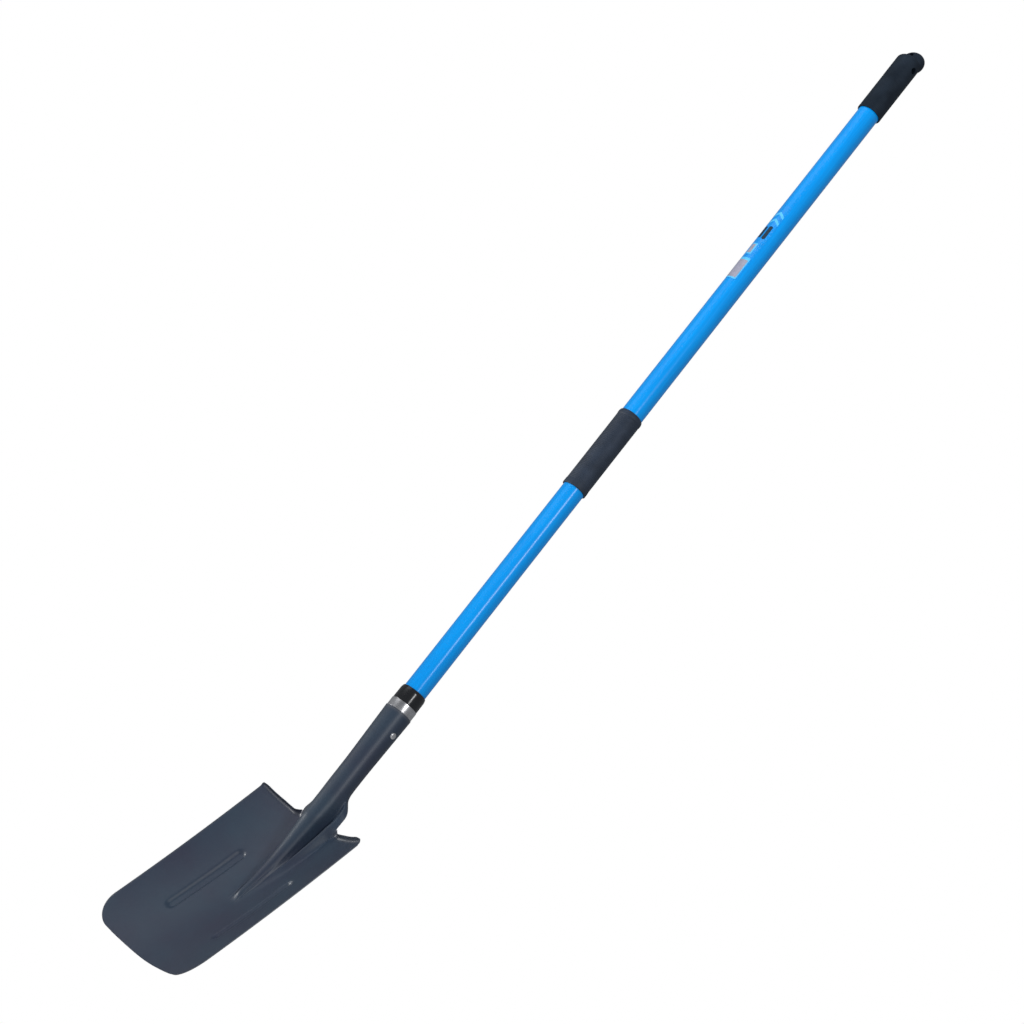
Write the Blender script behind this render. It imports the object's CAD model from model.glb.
import math

import bmesh
import bpy
import numpy as np
from mathutils import Matrix, Vector


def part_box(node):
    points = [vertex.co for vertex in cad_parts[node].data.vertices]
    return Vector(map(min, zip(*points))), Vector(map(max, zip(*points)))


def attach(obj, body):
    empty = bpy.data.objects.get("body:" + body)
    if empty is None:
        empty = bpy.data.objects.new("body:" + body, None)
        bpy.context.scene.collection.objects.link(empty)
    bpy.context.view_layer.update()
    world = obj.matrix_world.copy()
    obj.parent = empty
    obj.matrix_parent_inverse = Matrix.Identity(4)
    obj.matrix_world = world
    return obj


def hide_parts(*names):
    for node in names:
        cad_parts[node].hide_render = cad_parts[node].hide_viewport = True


# A long-handled garden spade, hung from the hole in its end grip. Lengths are in millimetres
# until a mesh is made: +Z up the handle, the blade's concave face towards -Y.

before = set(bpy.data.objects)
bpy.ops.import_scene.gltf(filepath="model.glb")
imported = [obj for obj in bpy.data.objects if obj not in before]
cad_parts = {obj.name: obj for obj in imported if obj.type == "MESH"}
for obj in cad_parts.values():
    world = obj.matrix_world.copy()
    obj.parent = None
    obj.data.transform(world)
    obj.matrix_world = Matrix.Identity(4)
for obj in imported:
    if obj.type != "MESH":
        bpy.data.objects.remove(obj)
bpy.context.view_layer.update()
MM = 0.001


def level(node, end):
    """The lowest (0) or highest (1) z of a CAD node, in millimetres."""
    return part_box(node)[end].z / MM


# Levels and radii that come from the frame
MOUTH_Z = level("steel_band", 0)
BAND_TOP_Z = level("steel_band", 1)
COLLAR_TOP_Z = level("collar", 1)
MID_LOW_Z, MID_HIGH_Z = level("mid_grip", 0), level("mid_grip", 1)
END_LOW_Z = level("end_grip", 0)
LABEL_LOW_Z, LABEL_HIGH_Z = level("label", 0), level("label", 1)
JACKET_LOW_Z, JACKET_HIGH_Z = level("handle_jacket", 0), level("handle_jacket", 1)
TUBE_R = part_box("handle_jacket")[1].x / MM
BAND_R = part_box("steel_band")[1].x / MM
RIVET_Z = (level("socket_rivet", 0) + level("socket_rivet", 1)) / 2

# The blade's plan, measured down from the tread line in the blade's own plane
SHEET = 1.6
TREAD_Z = MOUTH_Z - 168.0
TREAD_BACK_Y = 27.4
LIFT = math.radians(20.7)
LENGTH = 264.0
TOP_WIDTH, TIP_WIDTH = 194.4, 192.5
DISH_TOP, DISH_TIP, DISH_POWER, TIP_CURL = 41.0, 27.0, 1.8, 10.0
FROG_SWELL, FROG_LENGTH = 13.0, 130.0
CORNER_ACROSS, CORNER_ALONG = 26.5, 34.8
FROG_HALF = 30.0
GROOVE_X, GROOVE_START, GROOVE_END = 48.0, 87.0, 189.5
GROOVE_HALF, GROOVE_FLOOR, GROOVE_DEPTH = 7.4, 2.8, 2.8

# The turned-forward lip along the treads
LIP_DEPTH, LIP_FOLD_R = 7.0, 4.6
LIP_ROWS, FOLD_ROWS = 6, 4
TREAD_DOWN, NOTCH_DOWN = 8.2, 3.0
SHOULDER_REACH = 14.0
CROWN_START, CROWN_REACH, CROWN_DROP = 50.0, 30.0, 1.0
EAR_REACH = 7.0

# The socket: its round section stays closed down to the neck, then opens towards the frog
MOUTH_R, NECK_R, TAPER = 18.5, 16.45, 80.0
SEAM_TURN = 178.5
LEAN_ROWS = 28

# The frog: half of its section at levels above (+) or below (-) the tread line. Each row is
# level, crest half-width, crest front, valley x and y, ridge x and y, edge x and y.
FROG = (
    (32.0, 16.0, -16.4, 18.4, 7.0, 25.8, 3.0, 30.4, 9.4),
    (21.0, 15.7, -16.4, 18.0, 8.2, 25.2, 2.4, 32.6, 7.4),
    (12.0, 15.2, -16.4, 17.4, 9.0, 24.4, 1.6, 33.6, 5.2),
    (0.0, 14.2, -16.3, 16.4, 9.2, 22.4, 0.8, 30.4, None),
    (-20.0, 12.2, -15.9, 14.2, 6.0, 19.2, -1.4, 30.0, None),
    (-40.0, 10.4, -15.8, 12.2, 0.2, 16.0, -3.6, 30.0, None),
    (-60.0, 9.0, -16.4, 10.8, -6.0, 13.6, -6.4, 30.0, None),
    (-85.0, 7.4, -18.8, 9.2, -13.0, 11.6, -11.0, 30.0, None),
    (-104.0, 6.2, -22.2, 7.8, -18.2, 9.6, -16.6, 30.0, None),
    (-117.0, 5.2, -24.8, 6.6, -22.4, 8.2, -21.0, 30.0, None),
)
FROG_TIP, FROG_GONE = -125.0, -150.0
RIDGE_FOOT = 7.0
SECTION = 8
COLUMNS_PER_SPAN = 4

# The end grip: a sleeve with a low dome, and a pommel that leans back
SLEEVE_R, DOME_BASE, DOME_HEIGHT = 17.3, 9.0, 10.6
POMMEL_CENTRE, POMMEL_HALF = (0, 5.6, 17.6), (16.9, 13.7, 15.2)
RECESS_R, RECESS_CENTRE, RECESS_TILT = 4.8, (0, -8.6, 20.0), 75.0
HOLE_R = 4.25
RIB_PITCH = 2.3

# The sockets of a Mix node that hold colours
MIX_FIRST, MIX_SECOND, MIX_RESULT = 6, 7, 2


# ---------------------------------------------------------------- small tools
def smooth(t):
    """Eases from 0 to 1 with level ends."""
    t = np.clip(t, 0.0, 1.0)
    return t * t * (3 - 2 * t)


def new_object(name, verts, faces, sharp=35.0):
    """A smooth-shaded mesh object from points in millimetres, with creases above a given angle."""
    mesh = bpy.data.meshes.new(name)
    mesh.from_pydata([tuple(c * MM for c in v) for v in verts], [], faces)
    piece = bpy.data.objects.new(name, mesh)
    bpy.context.scene.collection.objects.link(piece)
    tidy_mesh(piece, sharp)
    return piece


def tidy_mesh(piece, sharp=35.0):
    """Merges doubled points, turns faces outward and sets smooth shading."""
    bm = bmesh.new()
    bm.from_mesh(piece.data)
    bmesh.ops.remove_doubles(bm, verts=bm.verts, dist=1e-6)
    bmesh.ops.recalc_face_normals(bm, faces=bm.faces)
    bm.to_mesh(piece.data)
    bm.free()
    piece.data.polygons.foreach_set("use_smooth", [True] * len(piece.data.polygons))
    piece.data.set_sharp_from_angle(angle=math.radians(sharp))


def apply_modifiers(piece):
    """Writes the result of a piece's modifiers into its mesh."""
    bpy.context.view_layer.update()
    graph = bpy.context.evaluated_depsgraph_get()
    mesh = bpy.data.meshes.new_from_object(piece.evaluated_get(graph))
    piece.modifiers.clear()
    piece.data = mesh


def finish_piece(piece, material, slot, *replaced):
    """Gives a piece its material and its place in the part."""
    piece.data.materials.clear()
    piece.data.materials.append(material)
    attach(piece, "root")
    if replaced:
        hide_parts(*replaced)
    return piece


def lathe(name, profile, segments=96, sharp=35.0):
    """Turns a closed outline of (radius, z) points about the handle's axis."""
    count = len(profile)
    verts = []
    for i in range(segments):
        turn = 2 * math.pi * i / segments
        verts += [(r * math.cos(turn), r * math.sin(turn), z) for r, z in profile]
    faces = []
    for i in range(segments):
        here, there = i * count, (i + 1) % segments * count
        for j in range(count):
            k = (j + 1) % count
            faces.append((here + j, there + j, there + k, here + k))
    return new_object(name, verts, faces, sharp)


def rounded(points, radius, steps=4):
    """A closed outline with its listed corners rounded."""
    result = []
    count = len(points)
    for i, corner in enumerate(points):
        before, here, after = (Vector(points[i - 1]), Vector(corner), Vector(points[(i + 1) % count]))
        reach = min(radius, (before - here).length * 0.45, (after - here).length * 0.45)
        start = here + (before - here).normalized() * reach
        end = here + (after - here).normalized() * reach
        for k in range(steps + 1):
            t = k / steps
            result.append(tuple(start * (1 - t) ** 2 + here * 2 * t * (1 - t) + end * t * t))
    return result


# ---------------------------------------------------------------- materials
def shader(name, color, roughness, **sockets):
    """A material with one Principled shader, and the tools to add nodes to it."""
    material = bpy.data.materials.new(name)
    material.use_nodes = True
    nodes, links = material.node_tree.nodes, material.node_tree.links
    bsdf = nodes["Principled BSDF"]
    bsdf.inputs["Base Color"].default_value = (*color, 1)
    bsdf.inputs["Roughness"].default_value = roughness
    for socket, value in sockets.items():
        bsdf.inputs[socket.replace("_", " ")].default_value = value
    return material, nodes, links, bsdf


def object_coords(nodes, links, stretch=(1, 1, 1)):
    """The piece's own coordinates, scaled along each axis."""
    coords = nodes.new("ShaderNodeTexCoord")
    mapping = nodes.new("ShaderNodeMapping")
    mapping.inputs["Scale"].default_value = stretch
    links.new(coords.outputs["Object"], mapping.inputs["Vector"])
    return mapping.outputs["Vector"]


def noise(nodes, links, vector, scale, detail=3.0, rough=0.5):
    """Noise whose grains measure about 1/scale metres."""
    texture = nodes.new("ShaderNodeTexNoise")
    texture.inputs["Scale"].default_value = scale
    texture.inputs["Detail"].default_value = detail
    texture.inputs["Roughness"].default_value = rough
    links.new(vector, texture.inputs["Vector"])
    return texture.outputs["Fac"]


def ramp(nodes, links, factor, stops):
    """A colour ramp: stops are (position, colour)."""
    node = nodes.new("ShaderNodeValToRGB")
    elements = node.color_ramp.elements
    while len(elements) < len(stops):
        elements.new(0.5)
    for element, (position, color) in zip(elements, stops):
        element.position = position
        element.color = (*color, 1)
    links.new(factor, node.inputs["Fac"])
    return node.outputs["Color"]


def spread(nodes, links, factor, low, high):
    """A factor from 0 to 1, spread over a range of values."""
    node = nodes.new("ShaderNodeMapRange")
    node.inputs["To Min"].default_value = low
    node.inputs["To Max"].default_value = high
    links.new(factor, node.inputs["Value"])
    return node.outputs["Result"]


def bump(nodes, links, bsdf, layers):
    """Bump layers of (height, depth in metres), one on the other."""
    normal = None
    for height, depth in layers:
        node = nodes.new("ShaderNodeBump")
        node.inputs["Strength"].default_value = 1.0
        node.inputs["Distance"].default_value = depth
        links.new(height, node.inputs["Height"])
        if normal:
            links.new(normal, node.inputs["Normal"])
        normal = node.outputs["Normal"]
    links.new(normal, bsdf.inputs["Normal"])


def mix(nodes, links, factor, first, second):
    """Mixes two colours, each a constant or another node's output."""
    node = nodes.new("ShaderNodeMix")
    node.data_type = "RGBA"
    links.new(factor, node.inputs["Factor"])
    for source, socket in ((first, node.inputs[MIX_FIRST]), (second, node.inputs[MIX_SECOND])):
        if isinstance(source, tuple):
            socket.default_value = (*source, 1)
        else:
            links.new(source, socket)
    return node.outputs[MIX_RESULT]


def coated_steel():
    """Dark blue-grey powder coat: orange peel, cloudy in hue, rubbed at its edges."""
    material, nodes, links, bsdf = shader("coated_steel", (0.024, 0.036, 0.063), 0.4)
    vector = object_coords(nodes, links)
    cloud = noise(nodes, links, vector, 14, 4)
    peel = noise(nodes, links, vector, 900, 2)
    grain = noise(nodes, links, vector, 2600, 2)
    scuffs = noise(nodes, links, object_coords(nodes, links, (1, 1, 0.12)), 160, 5, 0.7)
    color = ramp(nodes, links, cloud, ((0.3, (0.022, 0.027, 0.052)), (0.7, (0.021, 0.040, 0.066))))
    rub = nodes.new("ShaderNodeNewGeometry")
    edge = ramp(nodes, links, rub.outputs["Pointiness"], ((0.515, (0, 0, 0)), (0.56, (1, 1, 1))))
    worn = mix(nodes, links, edge, color, (0.05, 0.06, 0.08))
    links.new(worn, bsdf.inputs["Base Color"])
    links.new(spread(nodes, links, scuffs, 0.34, 0.50), bsdf.inputs["Roughness"])
    bump(nodes, links, bsdf, ((peel, 0.00010), (grain, 0.00003)))
    return material


def blue_jacket():
    """Glossy bright blue skin over wound glass fibre: a faint long weave and fine specks."""
    material, nodes, links, bsdf = shader("blue_jacket", (0.0, 0.30, 0.84), 0.2, Specular_IOR_Level=0.3)
    fibres = noise(nodes, links, object_coords(nodes, links, (1, 1, 0.02)), 700, 3)
    cloud = noise(nodes, links, object_coords(nodes, links), 9, 3)
    ripple = noise(nodes, links, object_coords(nodes, links, (1, 1, 0.25)), 60, 2)
    pale = ramp(nodes, links, cloud, ((0.3, (0.0, 0.28, 0.80)), (0.7, (0.0, 0.33, 0.88))))
    dark = ramp(nodes, links, fibres, ((0.35, (0.0, 0.26, 0.77)), (0.6, (0.0, 0.33, 0.90))))
    links.new(mix(nodes, links, fibres, pale, dark), bsdf.inputs["Base Color"])
    links.new(spread(nodes, links, fibres, 0.18, 0.24), bsdf.inputs["Roughness"])
    bump(nodes, links, bsdf, ((ripple, 0.00004), (fibres, 0.000004)))
    return material


def grip_rubber(name, low, high, specular):
    """Matt dark rubber with a fine moulded grain, its colour between two shades."""
    material, nodes, links, bsdf = shader(name, low, 0.62, Specular_IOR_Level=specular)
    vector = object_coords(nodes, links)
    cloud = noise(nodes, links, vector, 40, 4)
    grain = noise(nodes, links, vector, 1800, 3)
    links.new(ramp(nodes, links, cloud, ((0.3, low), (0.7, high))), bsdf.inputs["Base Color"])
    links.new(spread(nodes, links, grain, 0.52, 0.72), bsdf.inputs["Roughness"])
    bump(nodes, links, bsdf, ((grain, 0.00006),))
    return material


def black_plastic():
    """Glossy black moulding with faint flow marks."""
    material, nodes, links, bsdf = shader("black_plastic", (0.008, 0.009, 0.011), 0.16)
    flow = noise(nodes, links, object_coords(nodes, links, (1, 1, 3)), 120, 3)
    links.new(spread(nodes, links, flow, 0.12, 0.26), bsdf.inputs["Roughness"])
    bump(nodes, links, bsdf, ((flow, 0.00005),))
    return material


def bare_steel(name, color, roughness):
    """Bare steel with fine lines around the handle."""
    material, nodes, links, bsdf = shader(name, color, roughness, Metallic=1.0)
    lines = noise(nodes, links, object_coords(nodes, links, (0.06, 0.06, 1)), 2400, 4)
    blotch = noise(nodes, links, object_coords(nodes, links), 180, 3)
    low = tuple(c * 0.78 for c in color)
    links.new(ramp(nodes, links, blotch, ((0.3, low), (0.7, color))), bsdf.inputs["Base Color"])
    links.new(spread(nodes, links, lines, roughness * 0.8, roughness * 1.4), bsdf.inputs["Roughness"])
    bump(nodes, links, bsdf, ((lines, 0.00003),))
    return material


def plain_finish(name, color, roughness, grain_scale, depth, stretch=(1, 1, 1)):
    """A simple finish with some colour variation and grain, for hidden or small pieces."""
    material, nodes, links, bsdf = shader(name, color, roughness)
    grain = noise(nodes, links, object_coords(nodes, links, stretch), grain_scale, 4)
    low = tuple(c * 0.86 for c in color)
    links.new(ramp(nodes, links, grain, ((0.35, low), (0.65, color))), bsdf.inputs["Base Color"])
    links.new(spread(nodes, links, grain, roughness * 0.85, roughness * 1.15), bsdf.inputs["Roughness"])
    bump(nodes, links, bsdf, ((grain, depth),))
    return material


# ---------------------------------------------------------------- the blade
def half_width(down):
    """Half the blade's width, with the rounded corners at the cutting edge."""
    straight = (TOP_WIDTH + (TIP_WIDTH - TOP_WIDTH) * down / LENGTH) / 2
    past = np.clip((down - (LENGTH - CORNER_ALONG)) / CORNER_ALONG, 0, 1)
    return straight - CORNER_ACROSS * (1 - np.sqrt(np.maximum(0.0, 1 - past**2)))


def sheet_height(x, down):
    """How far the plain dished sheet stands forward of the blade's base plane."""
    along = down / LENGTH
    half = (TOP_WIDTH + (TIP_WIDTH - TOP_WIDTH) * along) / 2
    dish = DISH_TOP + (DISH_TIP - DISH_TOP) * along
    swell = FROG_SWELL * np.clip(1 - down / FROG_LENGTH, 0, 1) ** 2
    across = np.abs(x / half) ** DISH_POWER
    return swell + (dish - swell) * across + TIP_CURL * np.maximum(along, 0) ** 2


def place(x, down, height):
    """From the blade's own plane (across, down, forward) to the handle's frame."""
    y = TREAD_BACK_Y - down * math.sin(LIFT) - height * math.cos(LIFT)
    z = TREAD_Z - down * math.cos(LIFT) + height * math.sin(LIFT)
    return np.stack(np.broadcast_arrays(x, y, z), -1)


def sheet_y(x, q):
    """The y of the plain sheet at x and at level q above the tread line."""
    height = sheet_height(x, np.maximum(0.0, -q))
    for _ in range(4):
        down = (height * math.sin(LIFT) - q) / math.cos(LIFT)
        height = sheet_height(x, down)
    return TREAD_BACK_Y + q * math.tan(LIFT) - height / math.cos(LIFT)


def frog_section(row):
    """Half of a frog section as points from the crest to the edge."""
    q, w, front, valley_x, valley_y, ridge_x, ridge_y, edge_x, edge_y = row
    if edge_y is None:
        edge_y = float(sheet_y(edge_x, q))
    turn1, turn2 = math.radians(32), math.radians(64)
    foot_x = ridge_x + RIDGE_FOOT
    foot = (foot_x, float(sheet_y(foot_x, q)) - 0.5)
    if q > 0:
        foot = (ridge_x + (edge_x - ridge_x) * 0.55, ridge_y + (edge_y - ridge_y) * 0.42)
    return [
        (0.0, front),
        (w * math.sin(turn1), front + w * (1 - math.cos(turn1))),
        (w * math.sin(turn2), front + w * (1 - math.cos(turn2))),
        (w, front + (valley_y - front) * 0.64),
        (valley_x, valley_y),
        ((valley_x + ridge_x) / 2 - 0.6, (valley_y + ridge_y) / 2 - 0.4),
        (ridge_x, ridge_y),
        foot,
        (edge_x, edge_y),
    ]


def tube_section(radius, open_at):
    """Half of the socket's round section, from the front to its seam at the back."""
    shares = (0, 0.16, 0.32, 0.46, 0.58, 0.69, 0.8, 0.9, 1)
    turns = [math.radians(open_at) * share for share in shares]
    return [(radius * math.sin(t), -radius * math.cos(t)) for t in turns]


def frog_stations():
    """Levels, and the section's points as x and as rise above the plain sheet."""
    top = MOUTH_Z - TREAD_Z
    stations = [
        (top + 10, tube_section(MOUTH_R + 0.3, SEAM_TURN)),
        (top, tube_section(MOUTH_R, SEAM_TURN)),
        (top - TAPER, tube_section(NECK_R, SEAM_TURN)),
        (84.0, tube_section(NECK_R, 178)),
        (52.0, tube_section(NECK_R, 160)),
    ]
    stations += [(row[0], frog_section(row)) for row in FROG]
    tip_xs = [point[0] for point in stations[-1][1]]
    even_xs = [FROG_HALF * k / SECTION for k in range(SECTION + 1)]
    for q, xs in ((FROG_TIP, tip_xs), (FROG_GONE, even_xs), (-400.0, even_xs)):
        stations.append((q, [(x, float(sheet_y(x, q))) for x in xs]))
    stations.sort(key=lambda s: s[0])
    levels = np.array([s[0] for s in stations])
    xs = np.array([[p[0] for p in s[1]] for s in stations])
    rises = np.array([[float(sheet_y(p[0], s[0])) - p[1] for p in s[1]] for s in stations])
    return levels, xs, rises


def eased(levels, values, q, reach=5.0):
    """Values between the stations, with the bends at the stations eased."""
    offsets = (-reach, -reach / 2, 0, reach / 2, reach)
    return sum(np.interp(q + d, levels, values) for d in offsets) / len(offsets)


def spine(points):
    """Catmull-Rom points through a section's control points, along the second axis."""
    last = points[:, -1:]
    before = np.concatenate([points[:, 1:2] * (-1, 1, 1), points[:, :-1]], 1)
    ahead = np.concatenate([points[:, 1:], last], 1)
    beyond = np.concatenate([points[:, 2:], last + (last - points[:, -2:-1]), last], 1)
    result = []
    for k in range(points.shape[1] - 1):
        a, b, c, d = before[:, k], points[:, k], ahead[:, k], beyond[:, k]
        for i in range(COLUMNS_PER_SPAN):
            t = i / COLUMNS_PER_SPAN
            square = (2 * a - 5 * b + 4 * c - d) * t * t
            cube = (3 * b - a - 3 * c + d) * t**3
            result.append((2 * b + (c - a) * t + square + cube) / 2)
    result.append(points[:, -1])
    return np.stack(result, 1)


def neck_rows():
    """Rows of the socket from its mouth to just above the treads, as (level, slant)."""
    start = -NOTCH_DOWN / math.cos(LIFT)
    rows = []
    here = start
    for j in range(1, LEAN_ROWS + 1):
        here += 1.1 if j <= LIP_ROWS else 2.4
        rows.append((here, float(1 - smooth(j / LEAN_ROWS))))
    reach = MOUTH_Z - TREAD_Z - here
    count = int(reach / 3) + 1
    rows += [(here + reach * (j + 1) / count, 0.0) for j in range(count)]
    return rows


def blade_downs():
    """Distances down the blade for the rows of its sheet."""
    straight = LENGTH - CORNER_ALONG
    rows = np.linspace(0, straight, 96)
    corner = straight + CORNER_ALONG * np.sin(np.linspace(0, math.pi / 2, 24)[1:])
    return np.concatenate([rows, corner])


def tread_down(x):
    """How far below the base line the sheet folds forward."""
    across = np.abs(x)
    shoulder = (TREAD_DOWN - NOTCH_DOWN) * smooth((across - FROG_HALF) / SHOULDER_REACH)
    return NOTCH_DOWN + shoulder + CROWN_DROP * smooth((across - CROWN_START) / CROWN_REACH)


def row_down(base, x):
    """A row's distance down at x: the first rows follow the treads, the rest are level."""
    return tread_down(x) + base * (LENGTH - tread_down(x)) / LENGTH


def frog_strip():
    """Right half of the middle strip: rows from the mouth down, columns from crest to edge."""
    levels, xs, rises = frog_stations()
    neck = neck_rows()
    rows = neck[::-1]
    downs = row_down(blade_downs(), FROG_HALF)
    rows += [(-down / math.cos(LIFT), 1.0) for down in downs]
    heights, slant = np.array(rows).T
    points = []
    for k in range(SECTION + 1):
        y = np.full(len(rows), -10.0)
        for _ in range(12):
            q = heights - slant * (y - TREAD_BACK_Y) * math.tan(LIFT)
            x = eased(levels, xs[:, k], q)
            y = sheet_y(x, q) - eased(levels, rises[:, k], q)
        points.append(np.stack([x, y, q + TREAD_Z], -1))
    return spine(np.stack(points, 1)), len(neck)


def groove_depth(x, down):
    """How far back the long round-ended groove is pressed into each wing."""
    past = np.maximum(0, np.maximum(GROOVE_START - down, down - GROOVE_END))
    distance = np.hypot(np.abs(x) - GROOVE_X, past)
    return GROOVE_DEPTH * smooth((GROOVE_HALF - distance) / (GROOVE_HALF - GROOVE_FLOOR))


def wing(strip, neck_count):
    """Right wing: lip rows, then sheet rows; its first column is the strip's edge."""
    half0 = TOP_WIDTH / 2
    lip_end = 84
    spans = ((FROG_HALF, 40, 7), (40.9, 55.1, 17), (57, lip_end, 13), (85.5, half0, 9))
    xs = np.concatenate([np.linspace(*span) for span in spans])
    edge = strip[:, -1]
    grid = []
    taper = np.sqrt(np.maximum(0, 1 - (np.clip(xs - lip_end, 0, None) / (half0 - lip_end)) ** 2))
    depth = LIP_DEPTH * taper
    fold = np.minimum(LIP_FOLD_R, depth)
    top_down = tread_down(xs)
    base_height = sheet_height(xs, top_down)
    blend = smooth((xs - FROG_HALF) / EAR_REACH)[:, None]
    for k in range(LIP_ROWS, 0, -1):
        turn = min(1.0, k / FOLD_ROWS) * math.pi / 2
        down = top_down - fold * math.sin(turn)
        beyond = max(0, k - FOLD_ROWS) / (LIP_ROWS - FOLD_ROWS)
        forward = fold * (1 - math.cos(turn)) + beyond * (depth - fold)
        lip = place(xs, down, base_height + forward)
        ear = edge[neck_count - k] + (lip - lip[:1]) * (1, 0, 0)
        grid.append(ear * (1 - blend) + lip * blend)
    for row, base in enumerate(blade_downs()):
        down = row_down(base, xs)
        inner = edge[neck_count + row, 0]
        x = inner + (xs - FROG_HALF) * (half_width(down) - inner) / (half0 - FROG_HALF)
        grid.append(place(x, down, sheet_height(x, down) - groove_depth(x, down)))
    grid = np.array(grid)
    grid[:, 0] = edge[neck_count - LIP_ROWS:]
    return grid


def relax(grid, passes):
    """Evens out a grid of points a little, in place, as pressing does."""
    for _ in range(passes):
        around = (grid[:-2, 1:-1] + grid[2:, 1:-1] + grid[1:-1, :-2] + grid[1:-1, 2:]) / 4
        grid[1:-1, 1:-1] = grid[1:-1, 1:-1] * 0.5 + around * 0.5


def make_blade(material):
    """The pressed blade with its frog and socket, as one sheet with a real thickness."""
    strip, neck_count = frog_strip()
    relax(strip, 4)
    wings = wing(strip, neck_count)
    verts = []
    faces = []

    def add(grid):
        """Adds a grid of points and the quads between them."""
        rows, columns = grid.shape[:2]
        start = len(verts)
        verts.extend(grid.reshape(-1, 3).tolist())
        for i in range(rows - 1):
            for j in range(columns - 1):
                a = start + i * columns + j
                faces.append((a, a + columns, a + columns + 1, a + 1))

    for grid in (strip, wings):
        add(grid)
        add((grid * (-1, 1, 1))[:, ::-1])
    mesh = bpy.data.meshes.new("blade_shell")
    mesh.from_pydata([tuple(c * MM for c in v) for v in verts], [], faces)
    piece = bpy.data.objects.new("blade_shell", mesh)
    bpy.context.scene.collection.objects.link(piece)
    bm = bmesh.new()
    bm.from_mesh(mesh)
    bmesh.ops.remove_doubles(bm, verts=bm.verts, dist=0.02 * MM)
    bmesh.ops.recalc_face_normals(bm, faces=bm.faces)
    socket_front = Vector((0, -MOUTH_R, RIVET_Z)) * MM
    middle = min(bm.faces, key=lambda face: (face.calc_center_median() - socket_front).length)
    if middle.normal.y > 0:
        bmesh.ops.reverse_faces(bm, faces=bm.faces)
    bm.to_mesh(mesh)
    bm.free()
    thick = piece.modifiers.new("thickness", "SOLIDIFY")
    thick.thickness = SHEET * MM
    thick.offset = -1
    thick.use_even_offset = True
    thick.thickness_clamp = 1.5
    apply_modifiers(piece)
    tidy_mesh(piece, 50)
    return finish_piece(piece, material, "coated_steel", "blade")


# ---------------------------------------------------------------- the ferrule and the rivet
def make_ferrule(black, steel):
    """The black collar with its bush, and the steel band below the collar."""
    bush = TUBE_R + 1.2
    shoulder = BAND_R - 0.4
    profile = rounded(
        [
            (TUBE_R + 0.02, COLLAR_TOP_Z),
            (shoulder - 1.2, COLLAR_TOP_Z),
            (shoulder - 0.2, COLLAR_TOP_Z - 4.0),
            (shoulder, BAND_TOP_Z + 0.1),
            (bush, BAND_TOP_Z + 0.1),
            (bush, MOUTH_Z - 2),
            (TUBE_R + 0.02, MOUTH_Z - 2),
        ],
        0.7,
    )
    collar = lathe("collar_moulding", profile)
    finish_piece(collar, black, "black_plastic", "collar")
    band_profile = rounded(
        [
            (bush + 0.05, MOUTH_Z + 0.1),
            (BAND_R, MOUTH_Z + 0.1),
            (BAND_R, BAND_TOP_Z),
            (bush + 0.05, BAND_TOP_Z),
        ],
        0.5,
    )
    band = lathe("band_ring", band_profile)
    finish_piece(band, steel, "bare_steel", "steel_band")


def make_rivet(steel):
    """A cross rivet with a low domed head on each side."""
    seat = MOUTH_R - (MOUTH_R - NECK_R) * (MOUTH_Z - RIVET_Z) / TAPER
    head_r, rise, shank_r = 4.2, 1.8, 2.5
    outline = [(0.0, seat + rise)]
    for k in range(1, 9):
        turn = math.pi / 2 * k / 8
        outline.append((head_r * math.sin(turn), seat + rise * math.cos(turn)))
    outline.append((head_r, seat - 0.8))
    outline.append((shank_r, seat - 0.8))
    outline.append((shank_r, 0.0))
    verts = []
    segments = 40
    full = outline + [(r, -x) for r, x in reversed(outline[:-1])]
    for i in range(segments):
        turn = 2 * math.pi * i / segments
        verts += [(x, r * math.cos(turn), RIVET_Z + r * math.sin(turn)) for r, x in full]
    count = len(full)
    faces = []
    for i in range(segments):
        here, there = i * count, (i + 1) % segments * count
        for j in range(count - 1):
            faces.append((here + j, there + j, there + j + 1, here + j + 1))
    rivet = new_object("rivet_heads", verts, faces, 40)
    finish_piece(rivet, steel, "rivet_steel", "socket_rivet")


# ---------------------------------------------------------------- the handle
def make_jacket(material):
    """The bright skin of the handle, a long thin tube."""
    profile = rounded(
        [
            (TUBE_R, JACKET_LOW_Z),
            (TUBE_R, JACKET_HIGH_Z),
            (TUBE_R - 1.5, JACKET_HIGH_Z),
            (TUBE_R - 1.5, JACKET_LOW_Z),
        ],
        0.3,
    )
    jacket = lathe("jacket_tube", profile, 128)
    finish_piece(jacket, material, "blue_jacket", "handle_jacket")


def ribbed(low, high, radius, pitch, depth):
    """Points (radius, z) of a rubber wall with fine rounded ribs around it."""
    count = int((high - low) / pitch)
    steps = 6
    points = []
    for i in range(count * steps + 1):
        share = i / (count * steps)
        phase = 2 * math.pi * (i / steps)
        points.append((radius - depth * (0.5 + 0.5 * math.cos(phase)) ** 2, low + (high - low) * share))
    return points


def make_mid_grip(material):
    """The rubber sleeve: flared rounded ends and fine ribs."""
    low, high = MID_LOW_Z, MID_HIGH_Z
    inner = TUBE_R + 0.02
    bottom = rounded([(inner, low + 0.1), (17.0, low + 0.1), (16.9, low + 6), (16.6, low + 9)], 1.0)[1:-1]
    wall = ribbed(low + 9, high - 8, 16.6, RIB_PITCH, 0.36)
    top = [(16.9, high - 7), (17.0, high - 4.6), (16.8, high - 2.6), (16.3, high - 1.0), (15.4, high - 0.1)]
    profile = [(inner, low + 0.1)] + bottom + wall + top + [(inner, high - 0.1)]
    grip = lathe("mid_grip_rubber", profile, 96, 50)
    finish_piece(grip, material, "grip_rubber", "mid_grip")


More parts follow.
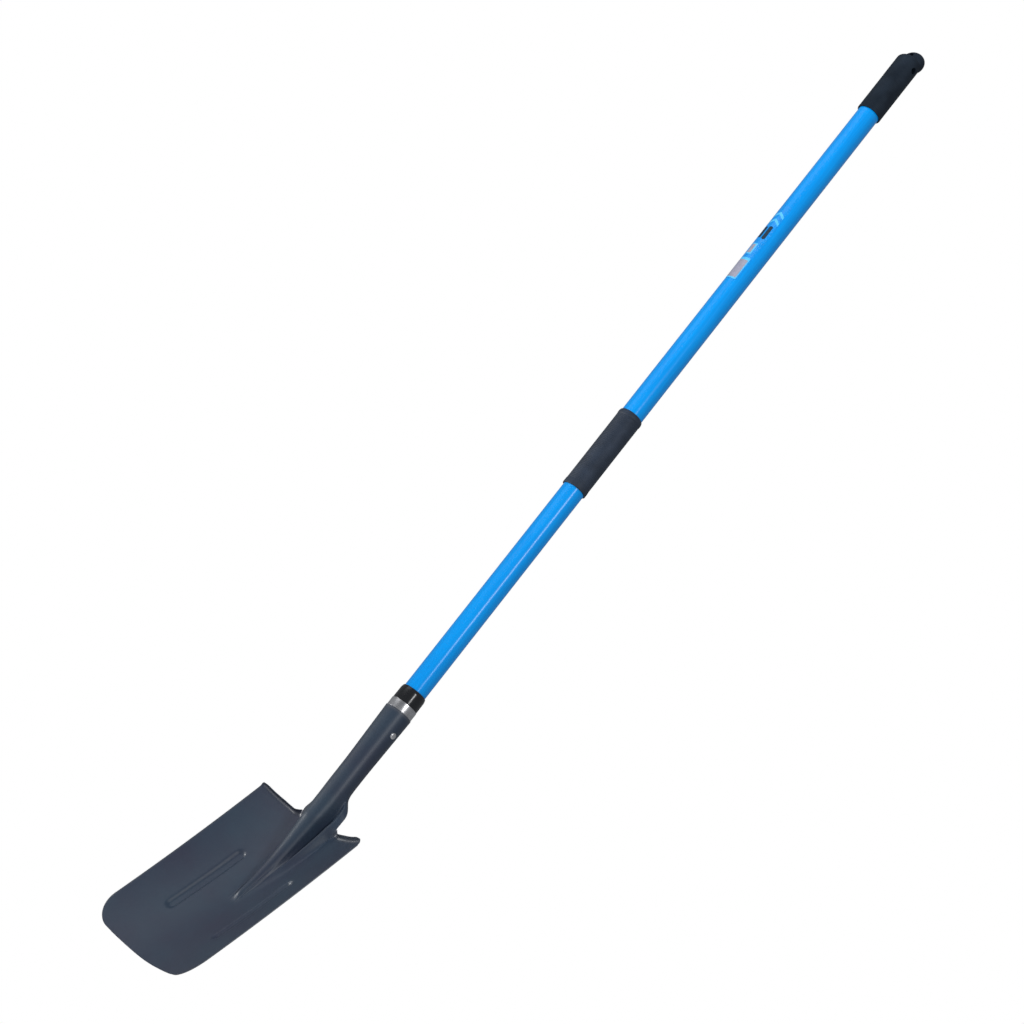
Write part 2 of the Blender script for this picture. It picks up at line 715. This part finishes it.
def ball(name, centre, half, rings=32, segments=48):
    """An ellipsoid, as a block for shaping the end of the grip."""
    verts = []
    faces = []
    for i in range(1, rings):
        turn = math.pi * i / rings
        for j in range(segments):
            way = 2 * math.pi * j / segments
            verts.append(
                (
                    centre[0] + half[0] * math.sin(turn) * math.cos(way),
                    centre[1] + half[1] * math.sin(turn) * math.sin(way),
                    centre[2] + half[2] * math.cos(turn),
                )
            )
    for i in range(rings - 2):
        for j in range(segments):
            k = (j + 1) % segments
            here, below = i * segments, (i + 1) * segments
            faces.append((here + j, below + j, below + k, here + k))
    faces.append(tuple(range(segments)))
    last = (rings - 2) * segments
    faces.append(tuple(last + segments - 1 - j for j in range(segments)))
    return new_object(name, verts, faces)


def joined(name, pieces):
    """Several mesh objects as one."""
    bm = bmesh.new()
    for piece in pieces:
        bm.from_mesh(piece.data)
        bpy.data.objects.remove(piece)
    mesh = bpy.data.meshes.new(name)
    bm.to_mesh(mesh)
    bm.free()
    result = bpy.data.objects.new(name, mesh)
    bpy.context.scene.collection.objects.link(result)
    return result


def end_grip_sleeve():
    """The closed rubber sleeve with its ribs and its low domed end."""
    inner, bottom = TUBE_R + 0.02, END_LOW_Z + 0.1
    foot = rounded([(inner, bottom), (SLEEVE_R, bottom), (SLEEVE_R, bottom + 5)], 0.8)[1:-1]
    wall = ribbed(bottom + 6, -26.0, SLEEVE_R, RIB_PITCH, 0.4)
    cap = [(SLEEVE_R, -24.0), (SLEEVE_R, DOME_BASE)]
    for k in range(1, 12):
        turn = math.pi / 2 * k / 12
        cap.append((SLEEVE_R * math.cos(turn), DOME_BASE + DOME_HEIGHT * math.sin(turn)))
    ceiling = JACKET_HIGH_Z + 0.1
    tip = [(0.01, DOME_BASE + DOME_HEIGHT), (0.01, ceiling), (inner, ceiling)]
    return lathe("end_grip_sleeve", [(inner, bottom)] + foot + wall + cap + tip, 96, 50)


def cut_away(piece, cutter):
    """Takes one closed mesh out of another."""
    cut = piece.modifiers.new("cut", "BOOLEAN")
    cut.operation = "DIFFERENCE"
    cut.solver = "EXACT"
    cut.object = cutter
    apply_modifiers(piece)
    bpy.data.objects.remove(cutter)


def make_end_grip(material):
    """The rubber end grip: sleeve, pommel that leans back, front recess and hanging hole."""
    pommel = ball("pommel", POMMEL_CENTRE, POMMEL_HALF)
    grip = joined("end_grip_rubber", [end_grip_sleeve(), pommel])
    skin = grip.modifiers.new("skin", "REMESH")
    skin.mode = "VOXEL"
    skin.voxel_size = 0.52 * MM
    apply_modifiers(grip)
    cutter = rounded([(0.01, -5), (RECESS_R, -5), (RECESS_R, 10), (0.01, 10)], 1.2)
    recess = lathe("recess_cutter", cutter, 48)
    tilt = Matrix.Rotation(math.radians(RECESS_TILT), 4, "X")
    recess.matrix_world = Matrix.Translation(Vector(RECESS_CENTRE) * MM) @ tilt
    cut_away(grip, recess)
    hole = lathe("hole_cutter", [(0.01, -30), (HOLE_R, -30), (HOLE_R, 30), (0.01, 30)], 48)
    hole.matrix_world = Matrix.Rotation(math.pi / 2, 4, "Y")
    cut_away(grip, hole)
    soften = grip.modifiers.new("soften", "SMOOTH")
    soften.factor = 0.5
    soften.iterations = 2
    apply_modifiers(grip)
    tidy_mesh(grip, 50)
    finish_piece(grip, material, "grip_rubber", "end_grip")


# ---------------------------------------------------------------- the label
def film(name, low, high, start, end, lift, material, corner=0.0, shear=0.0):
    """A thin patch that lies on the tube between two levels and two angles from the front."""
    columns, rows = 24, 16
    thick = 0.05
    radius = TUBE_R + lift
    verts = []
    for layer in (0, 1):
        for i in range(rows + 1):
            for j in range(columns + 1):
                u, v = j / columns, i / rows
                z = low + (high - low) * v + shear * abs(2 * u - 1)
                edge = min(u, 1 - u) * math.radians(end - start) * radius
                inset = max(0.0, corner - edge)
                if corner and not shear:
                    pull = corner - math.sqrt(max(0.0, corner**2 - inset**2))
                    z = (low + pull) + (high - low - 2 * pull) * v
                turn = math.radians(start + (end - start) * u)
                r = radius + thick * layer
                verts.append((r * math.sin(turn), -r * math.cos(turn), z))
    stride = columns + 1
    layer_size = stride * (rows + 1)
    faces = []
    for i in range(rows):
        for j in range(columns):
            a = i * stride + j
            b = a + layer_size
            faces.append((a, a + stride, a + stride + 1, a + 1))
            faces.append((b, b + 1, b + stride + 1, b + stride))
    rim = [i * stride for i in range(rows + 1)]
    rim += [rows * stride + j for j in range(1, columns + 1)]
    rim += [i * stride + columns for i in range(rows - 1, -1, -1)]
    rim += [j for j in range(columns - 1, 0, -1)]
    for here, there in zip(rim, rim[1:] + rim[:1]):
        faces.append((here, there, there + layer_size, here + layer_size))
    patch = new_object(name, verts, faces)
    return finish_piece(patch, material, "label_film")


def make_label(materials):
    """The film, with a plain panel, a small block, two bars and two chevrons as generic marks."""
    tint, panel, pale, dark = materials
    low, high = LABEL_LOW_Z, LABEL_HIGH_Z
    base = film("label_base", low, high, -40, 40, 0.02, tint, corner=2.5)
    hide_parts("label")
    film("label_panel_border", low + 0.8, low + 36.5, -38.5, 31, 0.07, pale, corner=1.5)
    film("label_panel", low + 3.0, low + 32.5, -35, 26, 0.12, panel, corner=1.2)
    film("label_block", low + 42.5, low + 61.0, -24, 12, 0.07, pale, corner=1.0)
    film("label_block_inner", low + 44.5, low + 59.0, -21, 4, 0.12, panel, corner=0.8)
    film("label_bar_left", low + 71.0, low + 90.0, -28, -7, 0.07, dark, corner=2.0)
    film("label_bar_right", low + 69.5, low + 91.5, 1, 22, 0.07, dark, corner=2.0)
    for number in range(2):
        start = low + 101.0 + 11.5 * number
        film(f"label_chevron_{number + 1}", start, start + 4.2, -30, 34, 0.07, pale, shear=-6.0)


# ---------------------------------------------------------------- floor, light and camera
CAMERA_AIM = (-0.029, -0.0316, -0.8147)
CAMERA_DISTANCE = 2.8954
VIEW_AZIMUTH, VIEW_RISE, VIEW_ROLL = 47.53, 15.91, 38.39
LENS = 82.57


def add_camera():
    """The camera stands to the right of the blade's face and below it, rolled to the right."""
    azimuth, rise, roll = (math.radians(a) for a in (VIEW_AZIMUTH, VIEW_RISE, VIEW_ROLL))
    level_way = Vector((-math.sin(azimuth), math.cos(azimuth), 0)) * math.cos(rise)
    forward = level_way + Vector((0, 0, math.sin(rise)))
    side = forward.cross(Vector((0, 0, 1))).normalized()
    up = side.cross(forward)
    right = side * math.cos(roll) + up * math.sin(roll)
    top = up * math.cos(roll) - side * math.sin(roll)
    data = bpy.data.cameras.new("camera")
    data.lens = LENS
    data.sensor_width = 36
    camera = bpy.data.objects.new("camera", data)
    stand = Vector(CAMERA_AIM) - forward * CAMERA_DISTANCE
    turn = Matrix((right, top, -forward)).transposed().to_4x4()
    camera.matrix_world = Matrix.Translation(stand) @ turn
    bpy.context.scene.collection.objects.link(camera)
    bpy.context.scene.camera = camera


def area_light(name, position, aim, width, height, power, mirrored=True, lighting=True):
    """A rectangular lamp that shows as a reflection, lights matt surfaces, or both."""
    data = bpy.data.lights.new(name, "AREA")
    data.shape = "RECTANGLE"
    data.size = width
    data.size_y = height
    data.energy = power
    light = bpy.data.objects.new(name, data)
    light.visible_glossy = mirrored
    light.visible_diffuse = lighting
    back = (Vector(position) - Vector(aim)).normalized()
    side = Vector((0, 0, 1)).cross(back).normalized()
    turn = Matrix((side, back.cross(side), back)).transposed().to_4x4()
    light.matrix_world = Matrix.Translation(position) @ turn
    bpy.context.scene.collection.objects.link(light)


def add_studio():
    """White surroundings, a soft key and its sheen from the front, a strip from the right, a low fill."""
    world = bpy.data.worlds.new("studio")
    bpy.context.scene.world = world
    world.use_nodes = True
    nodes, links = world.node_tree.nodes, world.node_tree.links
    seen = nodes.new("ShaderNodeBackground")
    seen.inputs["Color"].default_value = (1, 1, 1, 1)
    seen.inputs["Strength"].default_value = 1.0
    around = nodes["Background"]
    around.inputs["Color"].default_value = (0.92, 0.96, 1.0, 1)
    around.inputs["Strength"].default_value = 0.28
    path = nodes.new("ShaderNodeLightPath")
    either = nodes.new("ShaderNodeMixShader")
    links.new(path.outputs["Is Camera Ray"], either.inputs["Fac"])
    links.new(around.outputs["Background"], either.inputs[1])
    links.new(seen.outputs["Background"], either.inputs[2])
    links.new(either.outputs["Shader"], nodes["World Output"].inputs["Surface"])
    area_light("strip", (2.526, -1.173, -0.30), (0, 0, -0.95), 0.36, 1.1, 22)
    area_light("key", (0.25, -3.2, 0.8), (0, 0, -0.9), 1.8, 2.6, 79, mirrored=False)
    area_light("sheen", (-1.1, -2.9, 0.9), (0, 0, -0.9), 2.0, 2.6, 14)
    area_light("low_fill", (-1.18, -1.01, -1.76), (0, 0, -1.27), 0.5, 0.5, 34, lighting=False)
    bpy.context.scene.view_settings.view_transform = "Standard"


def add_floor():
    """A plain pale floor, well below the hanging spade."""
    half, floor_z = 6.0, -2.40
    corners = [(x * half, y * half, floor_z) for x, y in ((-1, -1), (1, -1), (1, 1), (-1, 1))]
    mesh = bpy.data.meshes.new("floor")
    mesh.from_pydata(corners, [], [(0, 1, 2, 3)])
    floor = bpy.data.objects.new("floor", mesh)
    bpy.context.scene.collection.objects.link(floor)
    material, nodes, links, bsdf = shader("floor_paint", (0.88, 0.88, 0.88), 0.8)
    grain = noise(nodes, links, object_coords(nodes, links), 6, 2)
    pale = ramp(nodes, links, grain, ((0.3, (0.86, 0.86, 0.86)), (0.7, (0.90, 0.90, 0.90))))
    links.new(pale, bsdf.inputs["Base Color"])
    mesh.materials.append(material)


steel_coat = coated_steel()
make_blade(steel_coat)
make_ferrule(black_plastic(), bare_steel("bare_steel", (0.62, 0.62, 0.64), 0.26))
make_rivet(bare_steel("rivet_steel", (0.72, 0.72, 0.74), 0.34))
make_jacket(blue_jacket())
make_mid_grip(grip_rubber("mid_grip_skin", (0.010, 0.018, 0.034), (0.021, 0.034, 0.060), 0.5))
make_end_grip(grip_rubber("end_grip_skin", (0.006, 0.011, 0.019), (0.015, 0.024, 0.038), 0.2))
make_label(
    (
        plain_finish("label_tint", (0.0, 0.30, 0.86), 0.22, 400, 0.00002),
        plain_finish("label_panel_print", (0.36, 0.36, 0.46), 0.35, 260, 0.00002),
        plain_finish("label_pale_print", (0.10, 0.58, 1.0), 0.3, 260, 0.00002),
        plain_finish("label_dark_print", (0.0, 0.022, 0.05), 0.45, 260, 0.00002),
    )
)
for node, finish in (
    ("handle_core", plain_finish("core_fibreglass", (0.80, 0.78, 0.68), 0.6, 500, 0.00005, (1, 1, 0.03))),
    ("core_plug", plain_finish("plug_wood", (0.62, 0.45, 0.27), 0.65, 300, 0.0001, (1, 1, 0.05))),
):
    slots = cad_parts[node].data.materials
    for index in range(len(slots)):
        slots[index] = finish
add_floor()
add_studio()
add_camera()
